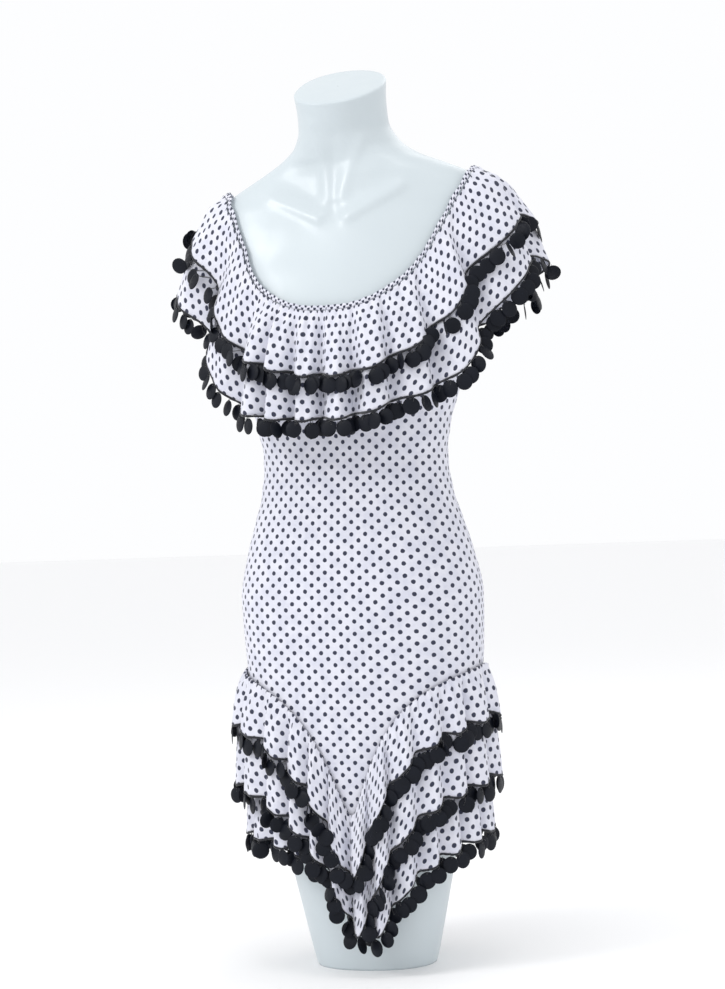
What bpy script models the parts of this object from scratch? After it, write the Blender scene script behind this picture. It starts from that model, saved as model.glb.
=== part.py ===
"""Fitted polka-dot dress with a ruffled neckline and a V-shaped ruffled hem, on a limbless display form.

Metres, +Z up. The front faces -Y and the wearer's left is +X. The form stands on its flat base at z = 0.
Angles are measured round the vertical axis from the front centre, positive towards the wearer's left.
"""

import math

import bmesh
import bpy
import numpy as np

# Display form, read from its sections: height of each, half width, depth in front of and behind its axis,
# squareness of its outline, sway to the wearer's left, lean forward and the tilt of its plane.
FORM_COLUMNS = 36
FORM_SECTION_FIELDS = ("height", "half_width", "front", "back", "squareness", "sway", "lean", "tilt_deg")
FORM_SECTIONS = (
    (0.000, 0.0740, 0.0580, 0.0580, 2.15, 0.000, 0.000, 0.0),
    (0.100, 0.0960, 0.0710, 0.0750, 2.15, 0.000, 0.000, 0.0),
    (0.200, 0.1170, 0.0855, 0.0945, 2.15, 0.000, 0.000, 0.0),
    (0.300, 0.1340, 0.0955, 0.1090, 2.10, 0.000, 0.000, 0.0),
    (0.375, 0.1430, 0.1000, 0.1165, 2.10, 0.000, 0.000, 0.0),
    (0.447, 0.1460, 0.1010, 0.1165, 2.10, 0.000, 0.000, 0.0),
    (0.502, 0.1357, 0.0970, 0.1010, 2.10, 0.000, 0.000, 0.0),
    (0.540, 0.1245, 0.0910, 0.0880, 2.10, 0.000, 0.000, 0.0),
    (0.575, 0.1145, 0.0850, 0.0790, 2.10, 0.000, 0.000, 0.0),
    (0.615, 0.1105, 0.0810, 0.0740, 2.10, 0.000, 0.000, 0.0),
    (0.655, 0.1160, 0.0860, 0.0770, 2.10, 0.000, 0.000, 0.0),
    (0.700, 0.1290, 0.0960, 0.0850, 2.15, 0.000, 0.000, 0.0),
    (0.722, 0.1345, 0.1010, 0.0890, 2.20, 0.000, 0.000, 0.0),
    (0.745, 0.1395, 0.1040, 0.0930, 2.20, 0.000, 0.000, 0.0),
    (0.768, 0.1430, 0.1030, 0.0960, 2.20, 0.001, 0.000, 0.0),
    (0.795, 0.1465, 0.0980, 0.0990, 2.20, 0.003, 0.000, 0.0),
    (0.830, 0.1560, 0.0880, 0.1010, 2.20, 0.006, 0.000, 0.0),
    (0.865, 0.1700, 0.0760, 0.0990, 2.15, 0.010, 0.000, 0.0),
    (0.895, 0.1800, 0.0670, 0.0940, 2.10, 0.012, 0.000, 0.0),
    (0.918, 0.1780, 0.0600, 0.0880, 2.05, 0.014, 0.000, 0.0),
    (0.937, 0.1620, 0.0550, 0.0800, 2.00, 0.017, 0.000, 0.0),
    (0.953, 0.1370, 0.0520, 0.0730, 2.00, 0.018, 0.000, 0.0),
    (0.967, 0.1090, 0.0510, 0.0670, 2.00, 0.015, 0.000, 0.0),
    (0.980, 0.0835, 0.0520, 0.0630, 2.00, 0.010, 0.002, 3.0),
    (0.996, 0.0640, 0.0540, 0.0600, 2.00, 0.007, 0.005, 8.0),
    (1.018, 0.0545, 0.0560, 0.0580, 2.00, 0.005, 0.009, 14.0),
    (1.040, 0.0535, 0.0590, 0.0600, 2.05, 0.005, 0.013, 20.0),
    (1.062, 0.0550, 0.0620, 0.0630, 2.10, 0.005, 0.017, 24.0),
)
BUST_HEIGHT = 0.742
BUST_ANGLE = math.radians(31)
BUST_SPREAD_UP = 0.042
BUST_SPREAD_ROUND = math.radians(17)
BUST_PROJECTION = 0.014

# Cloth and seams
WALL = 0.0014
SEAM_GAP = 0.0004
PANEL_EASE = 0.0018  # free space between the form and the panels
BUST_EASE = 0.0015  # more of it round the bust
SHOULDER_EASE = 0.0009  # and more again at the shoulder blades
PANEL_STATIONS = (0.375, 0.447, 0.502, 0.540, 0.575, 0.615, 0.655, 0.700, 0.722, 0.745, 0.768)
UNDERARM_HEIGHT = 0.800
ARMHOLE_HALF_ANGLE = math.radians(18)
ARMHOLE_RUN = math.radians(25)

# Neckline: a deep round scoop in front, over the tops of the shoulders, and a shallow scoop behind.
# Degrees from the front centre, height.
NECKLINE = (
    (0, 0.7895),
    (12, 0.7905),
    (25, 0.7965),
    (45, 0.8180),
    (56, 0.8430),
    (65, 0.8800),
    (74, 0.9200),
    (82, 0.9430),
    (90, 0.9490),
    (98, 0.9430),
    (112, 0.9180),
    (132, 0.8930),
    (155, 0.8780),
    (180, 0.8730),
)
NECKLINE_TILT = 0.006  # higher at the wearer's left shoulder
PANEL_TOP_DROP = 0.0015
STEEPEST = 2.6
CASING_DEPTH = 0.0060
CASING_WALL = 0.0028

# Neckline ruffles, both gathered into the casing and hung over the shoulders. Each station is a distance
# down the cloth from the neckline. Uneven: the degrees where the edge departs, its spread, how much longer.
NECK_WAVES = 21
NECK_CLEARANCE = 0.0071
LAYER_RUN = 0.030
NECK_TIERS = {
    "neck_ruffle_lower": {
        "stations": (0.016, 0.038, 0.060, 0.128), "layer": 0.0, "wander": 0.0,
        "uneven": ((-44, 24, 0.014), (60, 16, 0.020)),
    },
    "neck_ruffle_upper": {
        "stations": (0.0004, 0.016, 0.038, 0.078), "layer": 0.0050, "wander": 0.0035,
        "uneven": ((-92, 17, -0.026),),
    },
}
NECK_FLARE_FRONT = math.tan(math.radians(8))
NECK_FLARE_SHOULDER = math.tan(math.radians(20))
NECK_WAVE_FRONT = 0.016
NECK_WAVE_SHOULDER = 0.021
NECK_WAVE_RUN = 0.090
PROFILE_DEPTH = 0.190
PROFILE_STEPS = 120

# Hem: three ruffles, each sewn to the panels along its own V, at the front and at the back. A line's height
# falls from its side value to its point value at the centre.
HEM_WAVES = 26
HEM_FIELDS = ("seam_side", "seam_point", "edge_side", "edge_point", "swing_deg", "phase")
HEM_TIERS = {
    "hem_ruffle_top": (0.362, 0.192, 0.304, 0.120, 0.0, 0.00),
    "hem_ruffle_middle": (0.330, 0.140, 0.230, 0.053, 2.0, 0.30),
    "hem_ruffle_bottom": (0.258, 0.095, 0.166, 0.052, 14.0, 0.70),
}
HEM_ROWS = (0.0, 0.34, 1.0)  # shares of a ruffle's depth
V_WIDTH = math.radians(26)
V_ROUNDING = math.radians(6)
HEM_STEP = 0.0085
HEM_STEP_RUN = 0.020
HEM_STEP_UNLIKE = 0.30  # less at the wearer's left, more at the right
HEM_FLARE = 0.045
HEM_WAVE = 0.0105
HEM_WAVE_RUN = 0.030

# Trims: a narrow corded strip along each ruffle's edge, with flat round discs hung from it.
STRIP_GAP = 0.0005
STRIP_DEPTH = 0.0040
STRIP_WIDTH = 0.0030
DISC_RADIUS = 0.0094
DISC_WALL = 0.0012
DISC_TIP_HALF_WIDTH = 0.0042
THREAD_LENGTH = 0.0022
DISC_CLEARANCE = 0.0018
PULL_OF_WEIGHT = 0.35
DISC_PITCH = 0.0268  # at least
TRIMMED = {
    "neck_trim_lower": "neck_ruffle_lower",
    "neck_trim_upper": "neck_ruffle_upper",
    "hem_trim_top": "hem_ruffle_top",
    "hem_trim_middle": "hem_ruffle_middle",
    "hem_trim_bottom": "hem_ruffle_bottom",
}
UNDER = {
    "neck_ruffle_upper": "neck_ruffle_lower",
    "hem_ruffle_top": "hem_ruffle_middle",
    "hem_ruffle_middle": "hem_ruffle_bottom",
}

# Name, colour, roughness
MATERIALS = {
    "form_plastic": ((0.86, 0.88, 0.89), 0.35),
    "dotted_jersey": ((0.80, 0.80, 0.84), 0.85),
    "black_trim": ((0.012, 0.013, 0.018), 0.45),
}
COLLECTION = "dotted_ruffle_dress"
SMALL_ANGLE = 1e-4


def smooth_table(at, heights, values):
    """A smooth curve through a table, which never overshoots it."""
    steps = np.diff(heights)
    chords = np.diff(values) / steps
    same_way = chords[1:] * chords[:-1] > 0
    inner = np.where(
        same_way,
        2 * chords[1:] * chords[:-1] / np.where(same_way, chords[1:] + chords[:-1], 1.0),
        0.0,
    )
    slopes = np.concatenate([[chords[0]], inner, [chords[-1]]])
    at = np.clip(at, heights[0], heights[-1])
    i = np.clip(np.searchsorted(heights, at, side="right") - 1, 0, len(steps) - 1)
    t = (at - heights[i]) / steps[i]
    return (
        values[i] * (1 + 2 * t) * (1 - t) ** 2
        + slopes[i] * steps[i] * t * (1 - t) ** 2
        + values[i + 1] * t * t * (3 - 2 * t)
        + slopes[i + 1] * steps[i] * t * t * (t - 1)
    )


def form_column(field, height):
    heights = np.array([row[0] for row in FORM_SECTIONS])
    values = np.array([row[FORM_SECTION_FIELDS.index(field)] for row in FORM_SECTIONS])
    return smooth_table(np.asarray(height, float), heights, values)


def form_radius(angle, height):
    """Distance from the form's own axis to its surface, with the rounding of the bust."""
    angle, height = np.broadcast_arrays(np.asarray(angle, float), np.asarray(height, float))
    wide = form_column("half_width", height)
    deep = np.where(np.cos(angle) > 0, form_column("front", height), form_column("back", height))
    power = form_column("squareness", height)
    across = (np.abs(np.sin(angle)) / wide) ** power
    along = (np.abs(np.cos(angle)) / deep) ** power
    outline = (across + along) ** (-1 / power)
    off_centre = np.abs(turn_from_front(angle)) - BUST_ANGLE
    bust = np.exp(-((off_centre / BUST_SPREAD_ROUND) ** 2) - ((height - BUST_HEIGHT) / BUST_SPREAD_UP) ** 2)
    return outline + BUST_PROJECTION * bust + form_column("sway", height) * np.sin(angle)


def off_form(angle, height, distance):
    """Distance from the axis of a surface that lies a little off the form, measured square to it."""
    slope = (form_radius(angle, height + 0.002) - form_radius(angle, height - 0.002)) / 0.004
    return form_radius(angle, height) + distance * np.minimum(np.sqrt(1 + slope**2), STEEPEST)


def turn_from_front(angle):
    """The same angle between -180 and 180 degrees."""
    return (np.asarray(angle, float) + math.pi) % (2 * math.pi) - math.pi


def place(angle, radius, height):
    """Points in space from an angle, a distance from the axis and a height."""
    angle, radius, height = np.broadcast_arrays(angle, radius, height)
    return np.stack([radius * np.sin(angle), -radius * np.cos(angle), height], axis=-1)


def smooth_step(x):
    x = np.clip(x, 0.0, 1.0)
    return x * x * (3 - 2 * x)


def neckline_height(angle):
    degrees, heights = (np.array(column, float) for column in zip(*NECKLINE))
    level = smooth_table(np.degrees(np.abs(turn_from_front(angle))), degrees, heights)
    return level + NECKLINE_TILT * np.sin(angle) * np.abs(np.sin(angle)) ** 3


def panel_top(angle):
    """The neckline in front and behind, dropping to the underarm at each side."""
    from_side = np.abs(np.abs(turn_from_front(angle)) - math.pi / 2)
    share = smooth_step((from_side - ARMHOLE_HALF_ANGLE) / ARMHOLE_RUN)
    return UNDERARM_HEIGHT + (neckline_height(angle) - PANEL_TOP_DROP - UNDERARM_HEIGHT) * share


def hem_line(angle, side, point, swing=0.0):
    """A V at the front and the same V behind, rounded a little at its point."""
    turn = np.abs(turn_from_front(np.asarray(angle) - swing))
    turn = np.minimum(turn, math.pi - turn)

    def fall(a):
        return np.exp(-(np.sqrt(a * a + V_ROUNDING**2) - V_ROUNDING) / V_WIDTH)

    at_side = fall(np.asarray(math.pi / 2))
    return side - (side - point) * (fall(turn) - at_side) / (1 - at_side)


def panel_ease(height):
    loose = smooth_step((np.asarray(height) - 0.66) / 0.06)
    return PANEL_EASE + BUST_EASE * loose + SHOULDER_EASE * smooth_step((np.asarray(height) - 0.79) / 0.05)


def panel_outside(angle, height):
    return off_form(angle, height, panel_ease(height) + WALL)


def wave_phase(angle, waves, shift):
    """Turns an angle into a wave's phase, with uneven spacing that still closes after one turn."""
    uneven = 0.9 * np.sin(3 * angle + 0.7 + shift) + 0.6 * np.sin(5 * angle + 2.1)
    return waves * angle + uneven + 0.35 * np.sin(8 * angle + 4.0 + shift) + shift


def wave_height(angle, waves, shift):
    """0 in a trough to 1 on a crest, with some folds smaller than others."""
    size = 0.80 + 0.12 * np.sin(4 * angle + 1.3) + 0.08 * np.sin(7 * angle + shift)
    return size * (0.5 - 0.5 * np.cos(wave_phase(angle, waves, shift)))


def wave_columns(waves, shift, per_wave):
    """Angles of the crests, troughs and flanks of every wave."""
    fine = np.linspace(0, 2 * math.pi, 4001)
    phase = wave_phase(fine, waves, shift)
    wanted = phase[0] + np.arange(waves * per_wave) * 2 * math.pi / per_wave
    first = math.ceil(phase[0] / (2 * math.pi) * per_wave) * 2 * math.pi / per_wave
    wanted = wanted - phase[0] + first
    return np.interp(wanted, phase, fine)


class NeckTier:
    """A ruffle hung from the neckline: it lies on the shoulders and bust, then falls free at its flare."""

    def __init__(self, name):
        row = NECK_TIERS[name]
        self.name = name
        self.stations = row["stations"]
        self.layer = row["layer"]
        self.wander = row["wander"]
        self.uneven = row["uneven"]

    def columns(self):
        return wave_columns(NECK_WAVES, 0.0, 4)

    def edge(self, angle):
        """How far down the cloth the edge is."""
        down = np.full(np.shape(angle), self.stations[-1])
        for at, spread, longer in self.uneven:
            down = down + longer * np.exp(-(((np.degrees(turn_from_front(angle)) - at) / spread) ** 2))
        return down

    def lift(self, angle, down, ripple=1.0):
        """How far the cloth stands off its hanging profile."""
        shoulder = np.abs(np.sin(angle)) ** 4
        size = NECK_WAVE_FRONT + (NECK_WAVE_SHOULDER - NECK_WAVE_FRONT) * shoulder
        grown = smooth_step(down / NECK_WAVE_RUN * 0.9)
        own = self.wander * (0.5 + 0.5 * np.sin(9 * angle + 0.5)) * grown
        layer = self.layer * smooth_step(down / LAYER_RUN)
        return layer + own + ripple * size * grown * wave_height(angle, NECK_WAVES, 0.0)

    def point(self, angle, down, ripple=1.0):
        """The middle of the wall at an angle and a distance down the cloth from the neckline."""
        angle, down = np.broadcast_arrays(np.asarray(angle, float), np.asarray(down, float))
        flat_angle, flat_down = angle.reshape(-1), down.reshape(-1)
        radius, height = hanging_profile(flat_angle, flat_down, self.lift(flat_angle, flat_down, ripple))
        return place(flat_angle, radius, height).reshape(*angle.shape, 3)

    def radius_at(self, angle, height):
        """Distance from the axis to the cloth, or to where it would go on, at given angles and heights."""
        down = np.linspace(0, PROFILE_DEPTH * 0.95, 60)
        found = []
        for a, z in zip(np.ravel(angle), np.ravel(height)):
            points = self.point(np.full(len(down), a), down)
            found.append(np.interp(-z, -points[:, 2], np.hypot(points[:, 0], points[:, 1])))
        return np.reshape(found, np.shape(angle))


def hanging_profile(angle, down, lift):
    """Radius and height of cloth that hangs from the neckline, for matching lists of angles and distances.

    At each height the cloth is as far out as anything above it pushes it, plus its own flare from there.
    """
    top = neckline_height(angle)
    depth = np.linspace(0, PROFILE_DEPTH, PROFILE_STEPS)
    height = top[:, None] - depth[None, :]
    kept_off = off_form(angle[:, None], height, NECK_CLEARANCE)
    flare = NECK_FLARE_FRONT + (NECK_FLARE_SHOULDER - NECK_FLARE_FRONT) * np.abs(np.sin(angle)) ** 3
    pushed = kept_off + flare[:, None] * -depth[None, :]
    radius = np.maximum.accumulate(pushed, axis=1) + flare[:, None] * depth[None, :]
    run = np.hypot(np.diff(radius, axis=1), np.diff(height, axis=1))
    travelled = np.concatenate([np.zeros((len(angle), 1)), np.cumsum(run, axis=1)], axis=1)
    out_radius, out_height = np.empty(len(angle)), np.empty(len(angle))
    for i in range(len(angle)):
        near = np.array([down[i] - 0.004, down[i], down[i] + 0.004])
        r = np.interp(near, travelled[i], radius[i])
        z = np.interp(near, travelled[i], height[i])
        along = np.array([r[2] - r[0], z[2] - z[0]])
        along /= np.linalg.norm(along)
        out_radius[i] = r[1] - along[1] * lift[i]
        out_height[i] = z[1] + along[0] * lift[i]
    return out_radius, out_height


class HemTier:
    """A ruffle sewn to the panels along a V, whose folds fall straight down and a little outwards."""

    def __init__(self, name):
        row = dict(zip(HEM_FIELDS, HEM_TIERS[name]))
        self.name = name
        self.seam = (row["seam_side"], row["seam_point"])
        self.hem = (row["edge_side"], row["edge_point"], math.radians(row["swing_deg"]))
        self.phase = row["phase"]

    def columns(self):
        return wave_columns(HEM_WAVES, self.phase, 4)

    def edge(self, angle):
        """The ruffle's depth at an angle."""
        return hem_line(angle, *self.seam) - hem_line(angle, *self.hem)

    def radius(self, angle, down, ripple=1.0):
        seam = hem_line(angle, *self.seam)
        sewn = panel_outside(angle, seam) + SEAM_GAP + WALL / 2
        fallen = np.maximum(down, 0.0)
        step = HEM_STEP * (1 - HEM_STEP_UNLIKE * np.sin(angle) * np.abs(np.sin(angle)))
        flare = step * (1 - np.exp(-fallen / HEM_STEP_RUN)) + HEM_FLARE * fallen
        size = HEM_WAVE * (1 - np.exp(-fallen / HEM_WAVE_RUN))
        return sewn + flare + ripple * size * wave_height(angle, HEM_WAVES, self.phase)

    def point(self, angle, down, ripple=1.0):
        return place(angle, self.radius(angle, down, ripple), hem_line(angle, *self.seam) - down)

    def radius_at(self, angle, height):
        return self.radius(angle, hem_line(angle, *self.seam) - height)


def make_material(name):
    colour, roughness = MATERIALS[name]
    material = bpy.data.materials.new(name)
    material.use_nodes = True
    shader = material.node_tree.nodes["Principled BSDF"]
    shader.inputs["Base Color"].default_value = (*colour, 1.0)
    shader.inputs["Roughness"].default_value = roughness
    shader.inputs["Metallic"].default_value = 0.0
    return material


def finish_object(name, bm, material, collection, split="FIXED"):
    bmesh.ops.triangulate(bm, faces=bm.faces, quad_method=split)  # split alike, nested sheets bend alike
    mesh = bpy.data.meshes.new(name)
    bm.to_mesh(mesh)
    bm.free()
    mesh.materials.append(material)
    mesh.shade_smooth()
    made = bpy.data.objects.new(name, mesh)
    collection.objects.link(made)
    return made


def loft(rows, closed):
    """An open sheet through rows of points that run upwards, each from the front to the wearer's left."""
    bm = bmesh.new()
    grid = [[bm.verts.new(p) for p in row] for row in rows]
    count = len(grid[0])
    for low, high in zip(grid, grid[1:]):
        for i in range(count if closed else count - 1):
            j = (i + 1) % count
            bm.faces.new((low[i], low[j], high[j], high[i]))
    return bm, grid


def make_cloth(name, rows, closed, material, collection, wall=WALL):
    bm, _ = loft(rows, closed)
    made = finish_object(name, bm, material, collection)
    thick = made.modifiers.new("wall", "SOLIDIFY")
    thick.thickness = wall
    thick.offset = 0.0
    thick.use_even_offset = True
    return made


def make_form(material, collection):
    """Torso from the knees to the neck, with a flat base and a neck cut off by a tilted plane."""
    angles = np.arange(FORM_COLUMNS) * 2 * math.pi / FORM_COLUMNS
    rows = []
    for section in FORM_SECTIONS:
        row = dict(zip(FORM_SECTION_FIELDS, section))
        points = place(angles, form_radius(angles, row["height"]), row["height"])
        points[:, 2] += math.tan(math.radians(row["tilt_deg"])) * points[:, 1]
        points[:, 1] -= row["lean"]
        rows.append(points)
    bm, grid = loft(rows, closed=True)
    bm.faces.new(grid[0][::-1])
    bm.faces.new(grid[-1])
    return finish_object("display_form", bm, material, collection)


def make_panel(name, first_deg, material, collection):
    """Half of the fitted body, from one side seam to the other."""
    seam_turn = SEAM_GAP / 2 / FORM_SECTIONS[5][1]
    angles = math.radians(first_deg) + np.linspace(0, math.pi, FORM_COLUMNS // 2 + 1)
    angles[0] += seam_turn
    angles[-1] -= seam_turn
    bottom = hem_line(angles, *HemTier("hem_ruffle_bottom").seam) - 2 * SEAM_GAP
    top = panel_top(angles)
    heights = [bottom + (PANEL_STATIONS[0] - bottom) * share for share in (0, 0.36, 0.70)]
    heights += [np.full(len(angles), station) for station in PANEL_STATIONS]
    heights += [PANEL_STATIONS[-1] + (top - PANEL_STATIONS[-1]) * share for share in (0.4, 0.75, 1)]
    rows = [place(angles, panel_outside(angles, z) - WALL / 2, z) for z in heights]
    return make_cloth(name, rows, False, material, collection)


def make_casing(material, collection):
    """The folded band round the neckline that gathers the ruffles."""
    upper = NeckTier("neck_ruffle_upper")
    angles = upper.columns()
    joint = upper.point(angles, np.zeros(len(angles)))
    below = upper.point(angles, np.full(len(angles), 0.004))
    along = joint - below
    along /= np.linalg.norm(along, axis=1)[:, None]
    rows = [joint + along * SEAM_GAP, joint + along * (SEAM_GAP + CASING_DEPTH)]
    return make_cloth("neck_casing", rows, True, material, collection, CASING_WALL)


def make_ruffle(tier, material, collection):
    angles = tier.columns()
    if isinstance(tier, NeckTier):
        downs = [np.full(len(angles), station) for station in tier.stations[:-1]] + [tier.edge(angles)]
    else:
        downs = [tier.edge(angles) * share for share in HEM_ROWS]
    rows = [tier.point(angles, down) for down in reversed(downs)]
    return make_cloth(tier.name, rows, True, material, collection)


def unit(vectors):
    return vectors / np.linalg.norm(vectors, axis=-1)[..., None]


def edge_frame(tier, angles, ripple):
    """Points on a ruffle's edge, with its outward normal and the way down, square to the edge."""
    down = tier.edge(angles)
    here = tier.point(angles, down, ripple)
    left = tier.point(angles - SMALL_ANGLE, tier.edge(angles - SMALL_ANGLE), ripple)
    right = tier.point(angles + SMALL_ANGLE, tier.edge(angles + SMALL_ANGLE), ripple)
    higher = tier.point(angles, down - 0.003, ripple)
    along = unit(right - left)
    outward = unit(np.cross(along, higher - here))
    return here, outward, unit(np.cross(along, outward))


def disc_push(tier, centre, across, down, outward):
    """How far a disc moves outwards to hang clear of the ruffle beneath it."""
    beneath = UNDER.get(tier.name)
    if beneath is None:
        return 0.0
    below = make_tier(beneath)
    reach = np.array([-1.0, -0.5, 0.0, 0.5, 1.0]) * DISC_RADIUS
    u, v = np.meshgrid(reach, reach)
    spots = centre + u[..., None] * across + v[..., None] * down
    angle = np.arctan2(spots[..., 0], -spots[..., 1])
    cloth = below.radius_at(angle, spots[..., 2])
    free = np.hypot(spots[..., 0], spots[..., 1]) - cloth
    needed = DISC_CLEARANCE + WALL / 2 + DISC_WALL / 2
    radial = place(np.arctan2(centre[0], -centre[1]), 1.0, 0.0)
    return max(0.0, (needed - free.min()) / float(radial @ outward))


def make_tier(name):
    return NeckTier(name) if name in NECK_TIERS else HemTier(name)


def disc_roots(tier, angles):
    """The columns that carry a disc, spaced along the smooth edge."""
    following = np.append(angles[1:], angles[0] + 2 * math.pi)
    middles = (angles + following) / 2
    spots = tier.point(middles, tier.edge(middles), 0.0)
    steps = np.linalg.norm(spots - np.roll(spots, 1, axis=0), axis=1)
    chosen = [0]
    since = 0.0
    for i in range(1, len(angles)):
        since += steps[i]
        clear_of_first = i < len(angles) // 2 or np.linalg.norm(spots[i] - spots[0]) >= DISC_PITCH
        if since >= DISC_PITCH and clear_of_first:
            chosen.append(i)
            since = 0.0
    return set(chosen)


def make_trim(name, ruffle, material, collection):
    """A strip of triangular section under the ruffle's edge, with flat discs grown from its faces."""
    tier = make_tier(ruffle)
    angles = tier.columns()
    count = len(angles)
    edge, outward, square = edge_frame(tier, angles, 1.0)
    top = edge + square * STRIP_GAP
    low = edge + square * (STRIP_GAP + STRIP_DEPTH)
    bm = bmesh.new()
    tops = [bm.verts.new(p) for p in top]
    outers = [bm.verts.new(p) for p in low + outward * STRIP_WIDTH / 2]
    inners = [bm.verts.new(p) for p in low - outward * STRIP_WIDTH / 2]
    rooted = disc_roots(tier, angles)
    for i in range(count):
        j = (i + 1) % count
        bm.faces.new((outers[i], outers[j], tops[j], tops[i]))
        bm.faces.new((inners[j], inners[i], tops[i], tops[j]))
        root = (outers[i], outers[j], inners[j], inners[i])
        if i in rooted:
            grow_disc(bm, root, tier, angles[i], angles[j])
        else:
            bm.faces.new(root[::-1])
    bmesh.ops.recalc_face_normals(bm, faces=bm.faces)
    return finish_object(name, bm, material, collection, split="BEAUTY")


def grow_disc(bm, root, tier, first, last):
    """A thread and a disc in one tapered lock of four sides, from a face under the strip."""
    if last < first:
        last += 2 * math.pi
    middle = np.array([(first + last) / 2])
    _, outward, square = (found[0] for found in edge_frame(tier, middle, 0.0))
    down = unit(square - np.array([0, 0, PULL_OF_WEIGHT]))
    across = unit(np.cross(down, outward))
    outward = unit(np.cross(across, down))
    if across @ place(middle[0] + math.pi / 2, 1.0, 0.0) < 0:
        across = -across
    start = np.mean([list(v.co) for v in root], axis=0)
    centre = start + down * (THREAD_LENGTH + DISC_RADIUS)
    centre = centre + outward * disc_push(tier, centre, across, down, outward)
    ring = root
    for step, half_width in ((0.0, DISC_RADIUS), (DISC_RADIUS * 0.92, DISC_TIP_HALF_WIDTH)):
        middle_point = centre + down * step
        corners = (
            middle_point - across * half_width + outward * DISC_WALL / 2,
            middle_point + across * half_width + outward * DISC_WALL / 2,
            middle_point + across * half_width - outward * DISC_WALL / 2,
            middle_point - across * half_width - outward * DISC_WALL / 2,
        )
        lower = [bm.verts.new(p) for p in corners]
        for i in range(4):
            j = (i + 1) % 4
            bm.faces.new((ring[i], ring[j], lower[j], lower[i]))
        ring = lower
    bm.faces.new(ring)


def main():
    for old in list(bpy.data.objects):
        bpy.data.objects.remove(old)
    collection = bpy.data.collections.new(COLLECTION)
    bpy.context.scene.collection.children.link(collection)
    plastic, jersey, black = (make_material(name) for name in MATERIALS)
    make_form(plastic, collection)
    make_panel("front_panel", -90, jersey, collection)
    make_panel("back_panel", 90, jersey, collection)
    make_casing(jersey, collection)
    for name in (*NECK_TIERS, *HEM_TIERS):
        make_ruffle(make_tier(name), jersey, collection)
    for name, ruffle in TRIMMED.items():
        make_trim(name, ruffle, black, collection)


main()
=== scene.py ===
"""Looks of the dotted dress with a ruffled scoop neck and a V-shaped ruffled hem, on its display form.

Metres, +Z up. The front faces -Y and the wearer's left is +X. Angles are measured round the vertical
axis from the front centre, positive towards the wearer's left. The shapes come from the same sections
as the solids.
"""

import math

import bpy
import numpy as np
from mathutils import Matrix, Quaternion, Vector

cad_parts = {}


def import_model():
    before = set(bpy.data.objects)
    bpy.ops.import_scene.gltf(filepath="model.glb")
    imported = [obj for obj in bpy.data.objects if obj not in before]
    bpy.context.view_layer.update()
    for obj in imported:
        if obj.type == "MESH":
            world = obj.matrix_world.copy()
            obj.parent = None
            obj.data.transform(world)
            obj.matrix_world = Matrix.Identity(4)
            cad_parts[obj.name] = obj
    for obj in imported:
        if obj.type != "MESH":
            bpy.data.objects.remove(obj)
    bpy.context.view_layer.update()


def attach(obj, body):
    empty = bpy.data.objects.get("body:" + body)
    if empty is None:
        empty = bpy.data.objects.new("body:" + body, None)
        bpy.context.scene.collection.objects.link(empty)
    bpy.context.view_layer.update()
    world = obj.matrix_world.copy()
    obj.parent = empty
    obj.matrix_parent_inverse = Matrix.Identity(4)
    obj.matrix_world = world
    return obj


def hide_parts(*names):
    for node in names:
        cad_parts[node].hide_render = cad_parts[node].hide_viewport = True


FULL_TURN = 2 * math.pi

# Camera and picture
PICTURE_HEIGHT_DEG = 22.7
CAMERA_AZIMUTH_DEG = 15.0
CAMERA_ELEVATION_DEG = 1.0
CAMERA_DISTANCE = 3.0
CAMERA_TARGET_HEIGHT = 0.570
CAMERA_ROLL_DEG = -2.5
CAMERA_AXIS_OFFSET = -0.006
SENSOR = 24.0

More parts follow.
